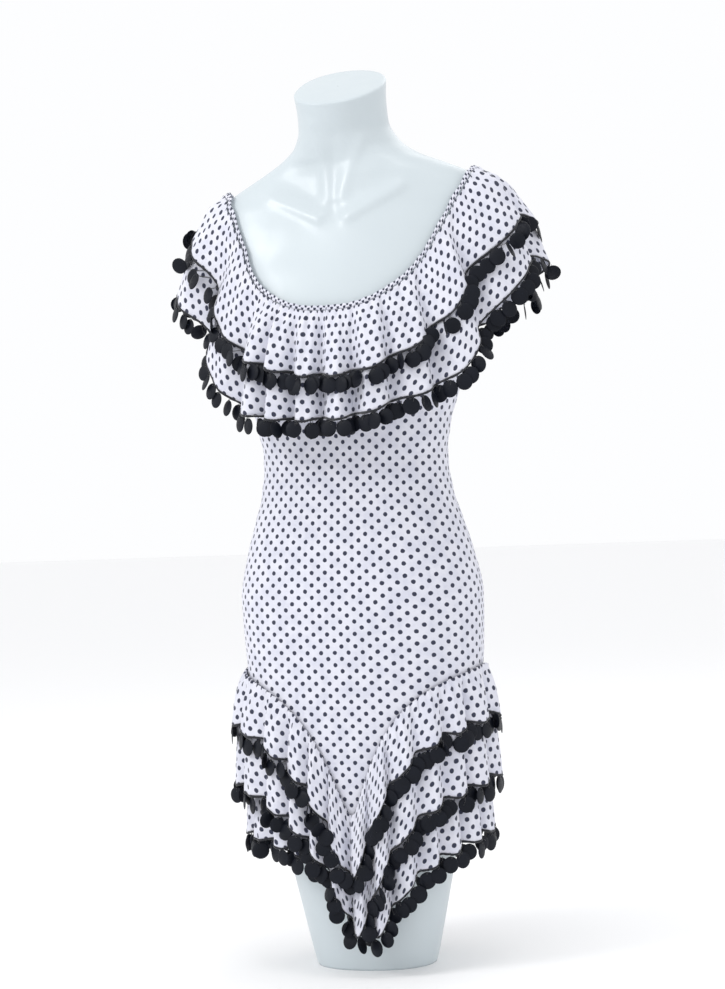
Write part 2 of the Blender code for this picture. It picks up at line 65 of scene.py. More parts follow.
# Display form: the same sections as the solid.
FORM_SECTION_FIELDS = ("height", "half_width", "front", "back", "squareness", "sway", "lean", "tilt_deg")
FORM_SECTIONS = (
    (0.000, 0.0740, 0.0580, 0.0580, 2.15, 0.000, 0.000, 0.0),
    (0.100, 0.0960, 0.0710, 0.0750, 2.15, 0.000, 0.000, 0.0),
    (0.200, 0.1170, 0.0855, 0.0945, 2.15, 0.000, 0.000, 0.0),
    (0.300, 0.1340, 0.0955, 0.1090, 2.10, 0.000, 0.000, 0.0),
    (0.375, 0.1430, 0.1000, 0.1165, 2.10, 0.000, 0.000, 0.0),
    (0.447, 0.1460, 0.1010, 0.1165, 2.10, 0.000, 0.000, 0.0),
    (0.502, 0.1357, 0.0970, 0.1010, 2.10, 0.000, 0.000, 0.0),
    (0.540, 0.1245, 0.0910, 0.0880, 2.10, 0.000, 0.000, 0.0),
    (0.575, 0.1145, 0.0850, 0.0790, 2.10, 0.000, 0.000, 0.0),
    (0.615, 0.1105, 0.0810, 0.0740, 2.10, 0.000, 0.000, 0.0),
    (0.655, 0.1160, 0.0860, 0.0770, 2.10, 0.000, 0.000, 0.0),
    (0.700, 0.1290, 0.0960, 0.0850, 2.15, 0.000, 0.000, 0.0),
    (0.722, 0.1345, 0.1010, 0.0890, 2.20, 0.000, 0.000, 0.0),
    (0.745, 0.1395, 0.1040, 0.0930, 2.20, 0.000, 0.000, 0.0),
    (0.768, 0.1430, 0.1030, 0.0960, 2.20, 0.001, 0.000, 0.0),
    (0.795, 0.1465, 0.0980, 0.0990, 2.20, 0.003, 0.000, 0.0),
    (0.830, 0.1560, 0.0880, 0.1010, 2.20, 0.006, 0.000, 0.0),
    (0.865, 0.1700, 0.0760, 0.0990, 2.15, 0.010, 0.000, 0.0),
    (0.895, 0.1800, 0.0670, 0.0940, 2.10, 0.012, 0.000, 0.0),
    (0.918, 0.1780, 0.0600, 0.0880, 2.05, 0.014, 0.000, 0.0),
    (0.937, 0.1620, 0.0550, 0.0800, 2.00, 0.017, 0.000, 0.0),
    (0.953, 0.1370, 0.0520, 0.0730, 2.00, 0.018, 0.000, 0.0),
    (0.967, 0.1090, 0.0510, 0.0670, 2.00, 0.015, 0.000, 0.0),
    (0.980, 0.0835, 0.0520, 0.0630, 2.00, 0.010, 0.002, 3.0),
    (0.996, 0.0640, 0.0540, 0.0600, 2.00, 0.007, 0.005, 8.0),
    (1.018, 0.0545, 0.0560, 0.0580, 2.00, 0.005, 0.009, 14.0),
    (1.040, 0.0535, 0.0590, 0.0600, 2.05, 0.005, 0.013, 20.0),
    (1.062, 0.0550, 0.0620, 0.0630, 2.10, 0.005, 0.017, 24.0),
)
BUST_HEIGHT = 0.742
BUST_ANGLE = math.radians(31)
BUST_SPREAD_UP = 0.042
BUST_SPREAD_ROUND = math.radians(17)
BUST_PROJECTION = 0.014

# Cloth and seams, as in the solids
SOLID_WALL = 0.0014
WALL = 0.0012
SEAM_GAP = 0.0004
PANEL_EASE = 0.0018
BUST_EASE = 0.0015
SHOULDER_EASE = 0.0009
UNDERARM_HEIGHT = 0.800
ARMHOLE_HALF_ANGLE = math.radians(18)
ARMHOLE_RUN = math.radians(25)

# Neckline: degrees from the front centre, height.
NECKLINE = (
    (0, 0.7895),
    (12, 0.7905),
    (25, 0.7965),
    (45, 0.8180),
    (56, 0.8430),
    (65, 0.8800),
    (74, 0.9200),
    (82, 0.9430),
    (90, 0.9490),
    (98, 0.9430),
    (112, 0.9180),
    (132, 0.8930),
    (155, 0.8780),
    (180, 0.8730),
)
NECKLINE_TILT = 0.006  # higher at the wearer's left shoulder
PANEL_TOP_DROP = 0.0015
STEEPEST = 2.6
CASING_DEPTH = 0.0060
CASING_WALL = 0.0028

# Neckline ruffles: distance down the cloth to the top and to the edge, and how each layer stands off.
NECK_WAVES = 21
NECK_CLEARANCE = 0.0071
LAYER_RUN = 0.030
NECK_TIERS = {
    "neck_ruffle_lower": {
        "span": (0.016, 0.128), "layer": 0.0, "wander": 0.0,
        "uneven": ((-44, 24, 0.014), (60, 16, 0.020)),
    },
    "neck_ruffle_upper": {
        "span": (0.0004, 0.078), "layer": 0.0050, "wander": 0.0035,
        "uneven": ((-92, 17, -0.026),),
    },
}
NECK_FLARE_FRONT = math.tan(math.radians(8))
NECK_FLARE_SHOULDER = math.tan(math.radians(20))
NECK_WAVE_FRONT = 0.016
NECK_WAVE_SHOULDER = 0.021
NECK_WAVE_RUN = 0.090
PROFILE_DEPTH = 0.190
PROFILE_STEPS = 160

# Hem ruffles, each sewn along its own V.
HEM_WAVES = 26
HEM_FIELDS = ("seam_side", "seam_point", "edge_side", "edge_point", "swing_deg", "phase")
HEM_TIERS = {
    "hem_ruffle_top": (0.362, 0.192, 0.304, 0.120, 0.0, 0.00),
    "hem_ruffle_middle": (0.330, 0.140, 0.230, 0.053, 2.0, 0.30),
    "hem_ruffle_bottom": (0.258, 0.095, 0.166, 0.052, 14.0, 0.70),
}
V_WIDTH = math.radians(26)
V_ROUNDING = math.radians(6)
HEM_STEP = 0.0085
HEM_STEP_RUN = 0.020
HEM_STEP_UNLIKE = 0.30  # less at the wearer's left, more at the right
HEM_FLARE = 0.045
HEM_WAVE = 0.0105
HEM_WAVE_RUN = 0.030
EDGE_SCALLOP = 0.007  # how much lower a ruffle's edge hangs on its folds than between them

# Trims
DISC_RADIUS = 0.0101
DISC_THICKNESS = 0.0007
DISC_DOME = 0.0011
DISC_PITCH = 0.0150
HEADING_DEPTH = 0.0030
HEADING_THICKNESS = 0.0022
THREAD_RADIUS = 0.00035
TRIMMED = {
    "neck_trim_lower": "neck_ruffle_lower",
    "neck_trim_upper": "neck_ruffle_upper",
    "hem_trim_top": "hem_ruffle_top",
    "hem_trim_middle": "hem_ruffle_middle",
    "hem_trim_bottom": "hem_ruffle_bottom",
}
UNDER = {
    "neck_ruffle_upper": "neck_ruffle_lower",
    "hem_ruffle_top": "hem_ruffle_middle",
    "hem_ruffle_middle": "hem_ruffle_bottom",
}
SMALL_ANGLE = 1e-4


def smooth_table(at, heights, values):
    """A smooth curve through a table, which never overshoots it."""
    steps = np.diff(heights)
    chords = np.diff(values) / steps
    same_way = chords[1:] * chords[:-1] > 0
    inner = np.where(
        same_way,
        2 * chords[1:] * chords[:-1] / np.where(same_way, chords[1:] + chords[:-1], 1.0),
        0.0,
    )
    slopes = np.concatenate([[chords[0]], inner, [chords[-1]]])
    at = np.clip(at, heights[0], heights[-1])
    i = np.clip(np.searchsorted(heights, at, side="right") - 1, 0, len(steps) - 1)
    t = (at - heights[i]) / steps[i]
    return (
        values[i] * (1 + 2 * t) * (1 - t) ** 2
        + slopes[i] * steps[i] * t * (1 - t) ** 2
        + values[i + 1] * t * t * (3 - 2 * t)
        + slopes[i + 1] * steps[i] * t * t * (t - 1)
    )


def form_column(field, height):
    heights = np.array([row[0] for row in FORM_SECTIONS])
    values = np.array([row[FORM_SECTION_FIELDS.index(field)] for row in FORM_SECTIONS])
    return smooth_table(np.asarray(height, float), heights, values)


def form_radius(angle, height):
    """Distance from the form's own axis to its surface, with the rounding of the bust."""
    angle, height = np.broadcast_arrays(np.asarray(angle, float), np.asarray(height, float))
    wide = form_column("half_width", height)
    deep = np.where(np.cos(angle) > 0, form_column("front", height), form_column("back", height))
    power = form_column("squareness", height)
    across = (np.abs(np.sin(angle)) / wide) ** power
    along = (np.abs(np.cos(angle)) / deep) ** power
    outline = (across + along) ** (-1 / power)
    off_centre = np.abs(turn_from_front(angle)) - BUST_ANGLE
    bust = np.exp(-((off_centre / BUST_SPREAD_ROUND) ** 2) - ((height - BUST_HEIGHT) / BUST_SPREAD_UP) ** 2)
    return outline + BUST_PROJECTION * bust + form_column("sway", height) * np.sin(angle)


def off_form(angle, height, distance):
    """Distance from the axis of a surface that lies a little off the form, measured square to it."""
    slope = (form_radius(angle, height + 0.002) - form_radius(angle, height - 0.002)) / 0.004
    return form_radius(angle, height) + distance * np.minimum(np.sqrt(1 + slope**2), STEEPEST)


def turn_from_front(angle):
    """The same angle between -180 and 180 degrees."""
    return (np.asarray(angle, float) + math.pi) % FULL_TURN - math.pi


def place(angle, radius, height):
    """Points in space from an angle, a distance from the axis and a height."""
    angle, radius, height = np.broadcast_arrays(angle, radius, height)
    return np.stack([radius * np.sin(angle), -radius * np.cos(angle), height], axis=-1)


def smooth_step(x):
    x = np.clip(x, 0.0, 1.0)
    return x * x * (3 - 2 * x)


def unit(vectors):
    return vectors / np.linalg.norm(vectors, axis=-1)[..., None]


def neckline_height(angle):
    degrees, heights = (np.array(column, float) for column in zip(*NECKLINE))
    level = smooth_table(np.degrees(np.abs(turn_from_front(angle))), degrees, heights)
    return level + NECKLINE_TILT * np.sin(angle) * np.abs(np.sin(angle)) ** 3


def panel_top(angle):
    """The neckline in front and behind, dropping to the underarm at each side."""
    from_side = np.abs(np.abs(turn_from_front(angle)) - math.pi / 2)
    share = smooth_step((from_side - ARMHOLE_HALF_ANGLE) / ARMHOLE_RUN)
    return UNDERARM_HEIGHT + (neckline_height(angle) - PANEL_TOP_DROP - UNDERARM_HEIGHT) * share


def hem_line(angle, side, point, swing=0.0):
    """A V at the front and the same V behind, rounded a little at its point."""
    turn = np.abs(turn_from_front(np.asarray(angle) - swing))
    turn = np.minimum(turn, math.pi - turn)

    def fall(a):
        return np.exp(-(np.sqrt(a * a + V_ROUNDING**2) - V_ROUNDING) / V_WIDTH)

    at_side = fall(np.asarray(math.pi / 2))
    return side - (side - point) * (fall(turn) - at_side) / (1 - at_side)


def panel_ease(height):
    loose = smooth_step((np.asarray(height) - 0.66) / 0.06)
    return PANEL_EASE + BUST_EASE * loose + SHOULDER_EASE * smooth_step((np.asarray(height) - 0.79) / 0.05)


def panel_outside(angle, height):
    return off_form(angle, height, panel_ease(height) + SOLID_WALL)


def wave_phase(angle, waves, shift):
    """Turns an angle into a wave's phase, with uneven spacing that still closes after one turn."""
    uneven = 0.9 * np.sin(3 * angle + 0.7 + shift) + 0.6 * np.sin(5 * angle + 2.1)
    return waves * angle + uneven + 0.35 * np.sin(8 * angle + 4.0 + shift) + shift


def wave_height(angle, waves, shift):
    """0 in a trough to 1 on a crest, with some folds smaller than others and with narrow troughs."""
    size = 0.80 + 0.12 * np.sin(4 * angle + 1.3) + 0.08 * np.sin(7 * angle + shift)
    round_wave = 0.5 - 0.5 * np.cos(wave_phase(angle, waves, shift))
    return size * (0.45 * round_wave + 0.55 * (1 - (1 - round_wave) ** 1.7))


def fold_creases(angle, waves, shift):
    """1 at the bottom of each trough and 0 elsewhere: the sharp creases between round folds."""
    return (0.5 + 0.5 * np.cos(wave_phase(angle, waves, shift))) ** 5


def wave_columns(waves, shift, per_wave):
    """Evenly spaced angles along every wave."""
    fine = np.linspace(0, FULL_TURN, 8001)
    phase = wave_phase(fine, waves, shift)
    wanted = phase[0] + np.arange(waves * per_wave) * FULL_TURN / per_wave
    return np.interp(wanted, phase, fine)


def gathers(angle, down, count, reach, size):
    """Small pleats that the gathering thread makes, fading down the cloth."""
    pleats = np.sin(count * angle + 1.7 * np.sin(6 * angle))
    pleats = pleats + 0.6 * np.sin(1.63 * count * angle + 2.2 * np.sin(9 * angle))
    return size * np.exp(-np.maximum(down, 0) / reach) * (0.5 + 0.31 * pleats)


class Ruffle:
    """A gathered cloth ring. Subclasses say where its points go; grid() adds their place on the cut."""

    def grid(self):
        angles = self.columns()
        top, bottom = self.reach(angles)
        share = np.linspace(0, 1, self.rows)[:, None]
        down = bottom + (top - bottom) * share
        points = self.point(np.broadcast_to(angles, down.shape), down)
        edge = np.concatenate([points[0], points[0][:1]])
        along = np.concatenate([[0], np.cumsum(np.linalg.norm(np.diff(edge, axis=0), axis=1))])
        across = np.concatenate([down, down[:, :1]], axis=1)
        cut = np.stack([np.broadcast_to(along, across.shape), -across], axis=-1)
        return angles, points, cut

    def radius_map(self):
        """Distance from the axis to the cloth, for each of its columns, at a fixed list of heights."""
        angles, points, _ = self.grid()
        radius = np.hypot(points[..., 0], points[..., 1])
        heights = np.linspace(0.0, 1.0, 501)
        table = np.stack([np.interp(heights, points[:, i, 2], radius[:, i]) for i in range(len(angles))])
        return angles, heights, table


class NeckTier(Ruffle):
    """A ruffle hung from the neckline: it lies on the shoulders and bust, then falls free at its flare."""

    rows = 40

    def __init__(self, name):
        row = NECK_TIERS[name]
        self.name = name
        self.span = row["span"]
        self.layer = row["layer"]
        self.wander = row["wander"]
        self.uneven = row["uneven"]

    def columns(self):
        return wave_columns(NECK_WAVES, 0.0, 26)

    def reach(self, angles):
        down = np.full(np.shape(angles), self.span[1])
        for at, spread, longer in self.uneven:
            down = down + longer * np.exp(-(((np.degrees(turn_from_front(angles)) - at) / spread) ** 2))
        scallop = wave_height(angles, NECK_WAVES, 0.0) - 0.5
        return np.full(np.shape(angles), self.span[0]), down + EDGE_SCALLOP * scallop

    def lift(self, angle, down, ripple=1.0):
        """How far the cloth stands off its hanging profile."""
        shoulder = np.abs(np.sin(angle)) ** 4
        size = NECK_WAVE_FRONT + (NECK_WAVE_SHOULDER - NECK_WAVE_FRONT) * shoulder
        grown = smooth_step(down / NECK_WAVE_RUN * 0.9)
        own = self.wander * (0.5 + 0.5 * np.sin(9 * angle + 0.5)) * grown
        layer = self.layer * smooth_step(down / LAYER_RUN)
        small = 0.0013 * np.sin(2.3 * NECK_WAVES * angle + 2.5 * np.sin(4 * angle)) * smooth_step(down / 0.02)
        deep = 0.0062 * fold_creases(angle, NECK_WAVES, 0.0) * smooth_step(down / 0.030)
        fine = gathers(angle, down, 74, 0.024, 0.0030) + small - deep
        return layer + own + ripple * (size * grown * wave_height(angle, NECK_WAVES, 0.0) + fine)

    def point(self, angle, down, ripple=1.0):
        """The middle of the wall at an angle and a distance down the cloth from the neckline."""
        angle, down = np.broadcast_arrays(np.asarray(angle, float), np.asarray(down, float))
        single = angle.ndim == 1
        angles = angle if single else angle[0]
        downs = down[None, :] if single else down
        radius, height = hanging_profile(angles, downs, self.lift(angles, downs, ripple))
        points = place(angles, radius, height)
        return points[0] if single else points


def hanging_profile(angles, down, lift):
    """Radius and height of cloth that hangs from the neckline: rows of distances down the cloth, by angle.

    At each height the cloth is as far out as anything above it pushes it, plus its own flare from there.
    """
    top = neckline_height(angles)
    depth = np.linspace(0, PROFILE_DEPTH, PROFILE_STEPS)
    height = top[:, None] - depth[None, :]
    kept_off = off_form(angles[:, None], height, NECK_CLEARANCE)
    flare = NECK_FLARE_FRONT + (NECK_FLARE_SHOULDER - NECK_FLARE_FRONT) * np.abs(np.sin(angles)) ** 3
    pushed = kept_off + flare[:, None] * -depth[None, :]
    radius = np.maximum.accumulate(pushed, axis=1) + flare[:, None] * depth[None, :]
    run = np.hypot(np.diff(radius, axis=1), np.diff(height, axis=1))
    travelled = np.concatenate([np.zeros((len(angles), 1)), np.cumsum(run, axis=1)], axis=1)
    out_radius, out_height = np.empty(down.shape), np.empty(down.shape)
    for i in range(len(angles)):
        near = down[:, i, None] + np.array([-0.004, 0.0, 0.004])
        r = np.interp(near, travelled[i], radius[i])
        z = np.interp(near, travelled[i], height[i])
        along = unit(np.stack([r[:, 2] - r[:, 0], z[:, 2] - z[:, 0]], axis=-1))
        out_radius[:, i] = r[:, 1] - along[:, 1] * lift[:, i]
        out_height[:, i] = z[:, 1] + along[:, 0] * lift[:, i]
    return out_radius, out_height


class HemTier(Ruffle):
    """A ruffle sewn to the panels along a V, whose folds fall straight down and a little outwards."""

    rows = 40

    def __init__(self, name):
        row = dict(zip(HEM_FIELDS, HEM_TIERS[name]))
        self.name = name
        self.seam = (row["seam_side"], row["seam_point"])
        self.hem = (row["edge_side"], row["edge_point"], math.radians(row["swing_deg"]))
        self.phase = row["phase"]

    def columns(self):
        return wave_columns(HEM_WAVES, self.phase, 22)

    def reach(self, angles):
        scallop = wave_height(angles, HEM_WAVES, self.phase) - 0.5
        down = hem_line(angles, *self.seam) - hem_line(angles, *self.hem)
        return np.zeros(np.shape(angles)), down + EDGE_SCALLOP * scallop

    def point(self, angle, down, ripple=1.0):
        seam = hem_line(angle, *self.seam)
        sewn = panel_outside(angle, seam) + SEAM_GAP + SOLID_WALL / 2
        fallen = np.maximum(down, 0.0)
        step = HEM_STEP * (1 - HEM_STEP_UNLIKE * np.sin(angle) * np.abs(np.sin(angle)))
        flare = step * (1 - np.exp(-fallen / HEM_STEP_RUN)) + HEM_FLARE * fallen
        size = HEM_WAVE * (1 - np.exp(-fallen / HEM_WAVE_RUN))
        pleats = np.sin(2.4 * HEM_WAVES * angle + 2.0 * np.sin(5 * angle))
        small = 0.0010 * pleats * smooth_step(fallen / 0.02)
        deep = 0.0052 * fold_creases(angle, HEM_WAVES, self.phase) * smooth_step(fallen / 0.025)
        fine = gathers(angle, fallen, 96, 0.026, 0.0042) + small - deep
        radius = sewn + flare + ripple * (size * wave_height(angle, HEM_WAVES, self.phase) + fine)
        return place(angle, radius, seam - down)


def make_tier(name):
    return NeckTier(name) if name in NECK_TIERS else HemTier(name)


def grid_faces(rows, columns, closed):
    """Four-sided faces of a grid of points. A closed one joins its last column to its first."""
    i, j = np.meshgrid(np.arange(rows - 1), np.arange(columns if closed else columns - 1), indexing="ij")
    return quads(i, j, i + 1, (j + 1) % columns, columns)


def ring_faces(rows, columns):
    """Faces of a grid of points that closes both ways, as on the skin of a hoop."""
    i, j = np.meshgrid(np.arange(rows), np.arange(columns), indexing="ij")
    return quads(i, j, (i + 1) % rows, (j + 1) % columns, columns)


def quads(row, column, next_row, next_column, columns):
    corners = ((row, column), (row, next_column), (next_row, next_column), (next_row, column))
    return np.stack([r * columns + c for r, c in corners], axis=-1).reshape(-1, 4)


def make_object(name, points, faces, materials, corner_uv=None, face_material=None, smooth=True):
    mesh = bpy.data.meshes.new(name)
    mesh.from_pydata(points.reshape(-1, 3).tolist(), [], [list(map(int, f)) for f in faces])
    if corner_uv is not None:
        layer = mesh.uv_layers.new(name="cut")
        layer.data.foreach_set("uv", np.asarray(corner_uv, float).reshape(-1))
    for material in materials:
        mesh.materials.append(material)
    if face_material is not None:
        mesh.polygons.foreach_set("material_index", np.asarray(face_material, np.int32))
    if smooth:
        mesh.shade_smooth()
    mesh.update()
    made = bpy.data.objects.new(name, mesh)
    bpy.context.scene.collection.objects.link(made)
    return made


def make_sheet(name, points, cut, closed, material):
    """A cloth wall from a grid of points; cut is each point's place on the flat cloth, in metres."""
    rows, columns = points.shape[:2]
    i, j = np.meshgrid(np.arange(rows - 1), np.arange(columns if closed else columns - 1), indexing="ij")
    uv = np.stack([cut[i, j], cut[i, j + 1], cut[i + 1, j + 1], cut[i + 1, j]], axis=-2)
    made = make_object(name, points, grid_faces(rows, columns, closed), [material], uv)
    thick = made.modifiers.new("wall", "SOLIDIFY")
    thick.thickness = WALL
    thick.offset = 0.0
    return made


class Shader:
    """A small helper for building one material's nodes."""

    def __init__(self, name, colour, roughness):
        self.material = bpy.data.materials.new(name)
        self.material.use_nodes = True
        self.tree = self.material.node_tree
        self.surface = self.tree.nodes["Principled BSDF"]
        self.surface.inputs["Base Color"].default_value = (*colour, 1.0)
        self.surface.inputs["Roughness"].default_value = roughness
        self.material.diffuse_color = (*colour, 1.0)

    def add(self, kind, settings=None, **inputs):
        node = self.tree.nodes.new(kind)
        for key, value in (settings or {}).items():
            setattr(node, key, value)
        for key, value in inputs.items():
            numbered = key[0] == "i" and key[1:].isdigit()
            socket = node.inputs[int(key[1:])] if numbered else node.inputs[key.replace("_", " ")]
            if isinstance(value, bpy.types.NodeSocket):
                self.tree.links.new(value, socket)
            else:
                socket.default_value = value
        return node

    def maths(self, operation, first, second):
        return self.add("ShaderNodeMath", {"operation": operation}, i0=first, i1=second).outputs[0]

    def to_range(self, value, low, high, to_low=0.0, to_high=1.0, kind="SMOOTHSTEP"):
        node = self.add("ShaderNodeMapRange", {"interpolation_type": kind})
        self.tree.links.new(value, node.inputs["Value"])
        for key, number in (("From Min", low), ("From Max", high), ("To Min", to_low), ("To Max", to_high)):
            node.inputs[key].default_value = number
        return node.outputs["Result"]

    def mix(self, factor, first, second):
        node = self.add("ShaderNodeMix", {"data_type": "RGBA"})
        for value, socket in ((factor, node.inputs[0]), (first, node.inputs[6]), (second, node.inputs[7])):
            if isinstance(value, bpy.types.NodeSocket):
                self.tree.links.new(value, socket)
            else:
                socket.default_value = value
        return node.outputs[2]

    def noise(self, where, scale, detail=3.0):
        node = self.add("ShaderNodeTexNoise")
        self.tree.links.new(where, node.inputs["Vector"])
        node.inputs["Scale"].default_value = scale
        node.inputs["Detail"].default_value = detail
        return node.outputs["Fac"]

    def bump(self, height, strength, distance, under=None):
        node = self.add("ShaderNodeBump")
        node.inputs["Strength"].default_value = strength
        node.inputs["Distance"].default_value = distance
        self.tree.links.new(height, node.inputs["Height"])
        if under is not None:
            self.tree.links.new(under, node.inputs["Normal"])
        return node.outputs["Normal"]

    def feed(self, socket_name, value):
        self.tree.links.new(value, self.surface.inputs[socket_name])


CLOTH_WHITE = (0.70, 0.705, 0.78)
CLOTH_SHADE = (0.62, 0.63, 0.72)
DOT_DARK = (0.022, 0.026, 0.048)
DOT_LIGHT = (0.045, 0.050, 0.085)


def make_jersey(name, cell, dot_radius):
    """White stretch jersey with small round printed dots in a staggered lattice, laid out on the flat cut."""
    shader = Shader(name, CLOTH_WHITE, 0.82)
    cut = shader.add("ShaderNodeUVMap", {"uv_map": "cut"}).outputs[0]
    spot = shader.add("ShaderNodeTexCoord").outputs["Object"]
    stray = shader.add("ShaderNodeTexNoise", {"noise_dimensions": "2D"})
    shader.tree.links.new(cut, stray.inputs["Vector"])
    stray.inputs["Scale"].default_value = 260.0
    small = shader.add("ShaderNodeVectorMath", {"operation": "SCALE"})
    shader.tree.links.new(stray.outputs["Color"], small.inputs[0])
    small.inputs["Scale"].default_value = 0.0009
    moved = shader.add("ShaderNodeVectorMath", {"operation": "ADD"})
    shader.tree.links.new(cut, moved.inputs[0])
    shader.tree.links.new(small.outputs[0], moved.inputs[1])
    distances = []
    for shift in (0.0, 0.5):
        shifted = shader.add("ShaderNodeVectorMath", {"operation": "ADD"})
        shader.tree.links.new(moved.outputs[0], shifted.inputs[0])
        shifted.inputs[1].default_value = (cell[0] * shift, cell[1] * shift, 0.0)
        wrapped = shader.add("ShaderNodeVectorMath", {"operation": "WRAP"})
        shader.tree.links.new(shifted.outputs[0], wrapped.inputs[0])
        wrapped.inputs[1].default_value = (cell[0] / 2, cell[1] / 2, 1.0)
        wrapped.inputs[2].default_value = (-cell[0] / 2, -cell[1] / 2, -1.0)
        flat = shader.add("ShaderNodeVectorMath", {"operation": "MULTIPLY"})
        shader.tree.links.new(wrapped.outputs[0], flat.inputs[0])
        flat.inputs[1].default_value = (1.0, 1.0, 0.0)
        length = shader.add("ShaderNodeVectorMath", {"operation": "LENGTH"})
        shader.tree.links.new(flat.outputs[0], length.inputs[0])
        distances.append(length.outputs["Value"])
    nearest = shader.maths("MINIMUM", *distances)
    printed = shader.to_range(nearest, dot_radius + 0.0003, dot_radius - 0.0003)
    patchy = shader.noise(spot, 60.0)
    ground = shader.mix(shader.to_range(patchy, 0.35, 0.70), (*CLOTH_WHITE, 1.0), (*CLOTH_SHADE, 1.0))
    ink = shader.mix(shader.noise(spot, 900.0, 2.0), (*DOT_DARK, 1.0), (*DOT_LIGHT, 1.0))
    shader.feed("Base Color", shader.mix(printed, ground, ink))
    wales = wave_lines(shader, cut, "X", 0.0010)
    courses = wave_lines(shader, cut, "Y", 0.0013)
    knit = shader.maths("MULTIPLY", wales, shader.maths("ADD", courses, 0.6))
    crumple = shader.add("ShaderNodeMapping")
    shader.tree.links.new(cut, crumple.inputs["Vector"])
    crumple.inputs["Scale"].default_value = (3.2, 1.0, 1.0)
    soft = shader.bump(shader.noise(crumple.outputs[0], 30.0, 4.0), 0.20, 0.004)
    shader.feed("Normal", shader.bump(knit, 0.10, 0.0004, soft))
    shader.feed("Roughness", shader.to_range(patchy, 0.0, 1.0, 0.74, 0.90, "LINEAR"))
    shader.surface.inputs["Sheen Weight"].default_value = 0.25
    shader.surface.inputs["Sheen Roughness"].default_value = 0.5
    shader.surface.inputs["Specular IOR Level"].default_value = 0.25
    return shader.material


def wave_lines(shader, where, direction, period):
    lines = shader.add("ShaderNodeTexWave", {"wave_type": "BANDS", "bands_direction": direction})
    shader.tree.links.new(where, lines.inputs["Vector"])
    lines.inputs["Scale"].default_value = FULL_TURN / 20 / period
    lines.inputs["Distortion"].default_value = 0.4
    return lines.outputs["Fac"]


def make_moulded_plastic():
    """Glossy white moulded plastic with faint orange peel and handling marks in its gloss."""
    shader = Shader("form_gloss_white", (0.56, 0.62, 0.65), 0.30)
    spot = shader.add("ShaderNodeTexCoord").outputs["Object"]
    cloudy = shader.noise(spot, 7.0, 4.0)
    shader.feed("Base Color", shader.mix(cloudy, (0.54, 0.60, 0.63, 1.0), (0.58, 0.64, 0.67, 1.0)))
    shader.feed("Roughness", shader.to_range(shader.noise(spot, 35.0, 5.0), 0.3, 0.75, 0.34, 0.48, "LINEAR"))
    shader.feed("Normal", shader.bump(shader.noise(spot, 420.0, 2.0), 0.05, 0.0006))
    shader.surface.inputs["Coat Weight"].default_value = 0.12
    shader.surface.inputs["Coat Roughness"].default_value = 0.12
    return shader.material


def make_disc_satin():
    """Black satin-finished discs, with a fine noise grain in their bump and roughness."""
    shader = Shader("disc_black_satin", (0.003, 0.004, 0.009), 0.50)
    spot = shader.add("ShaderNodeTexCoord").outputs["Object"]
    tint = shader.noise(spot, 55.0, 2.0)
    shader.feed("Base Color", shader.mix(tint, (0.002, 0.003, 0.006, 1.0), (0.008, 0.010, 0.017, 1.0)))
    shader.feed("Roughness", shader.to_range(shader.noise(spot, 500.0, 3.0), 0.3, 0.7, 0.38, 0.60, "LINEAR"))
    shader.feed("Normal", shader.bump(shader.noise(spot, 1400.0, 3.0), 0.12, 0.0004))
    shader.surface.inputs["Specular IOR Level"].default_value = 0.16
    return shader.material


def make_yarn():
    """Black crochet cotton: a matt twisted yarn."""
    shader = Shader("trim_black_yarn", (0.006, 0.007, 0.011), 0.88)
    spot = shader.add("ShaderNodeTexCoord").outputs["Object"]
    tufts = shader.noise(spot, 900.0, 4.0)
    shader.feed("Base Color", shader.mix(tufts, (0.004, 0.005, 0.008, 1.0), (0.018, 0.019, 0.027, 1.0)))
    shader.feed("Normal", shader.bump(tufts, 0.6, 0.0008))
    shader.surface.inputs["Sheen Weight"].default_value = 0.3
    return shader.material


# Relief on the form: start and end in the x-z plane, half width, height. A negative height is a hollow.
RELIEF_FIELDS = ("start", "end", "half_width", "height")
RELIEF = (
    ((-0.078, 0.934), (-0.017, 0.903), 0.0085, 0.0042),
    ((0.081, 0.934), (0.021, 0.903), 0.0085, 0.0042),
    ((-0.062, 0.950), (-0.028, 0.930), 0.0130, -0.0018),
    ((0.066, 0.950), (0.032, 0.930), 0.0130, -0.0018),
    ((0.002, 0.918), (0.003, 0.908), 0.0110, -0.0030),
    ((-0.005, 0.926), (-0.020, 1.030), 0.0080, 0.0018),
    ((0.010, 0.926), (0.040, 1.005), 0.0080, 0.0018),
    ((0.001, 0.935), (0.006, 1.010), 0.0090, -0.0014),
)


def relief(x, z):
    """Soft collarbones, neck tendons and the hollow between them."""
    total = np.zeros(np.shape(x))
    for row in RELIEF:
        part = dict(zip(RELIEF_FIELDS, row))
        start, end = np.array(part["start"]), np.array(part["end"])
        run = end - start
        along = np.clip(((x - start[0]) * run[0] + (z - start[1]) * run[1]) / (run @ run), 0, 1)
        away = np.hypot(x - start[0] - along * run[0], z - start[1] - along * run[1])
        total += part["height"] * np.exp(-((away / part["half_width"]) ** 2))
    return total


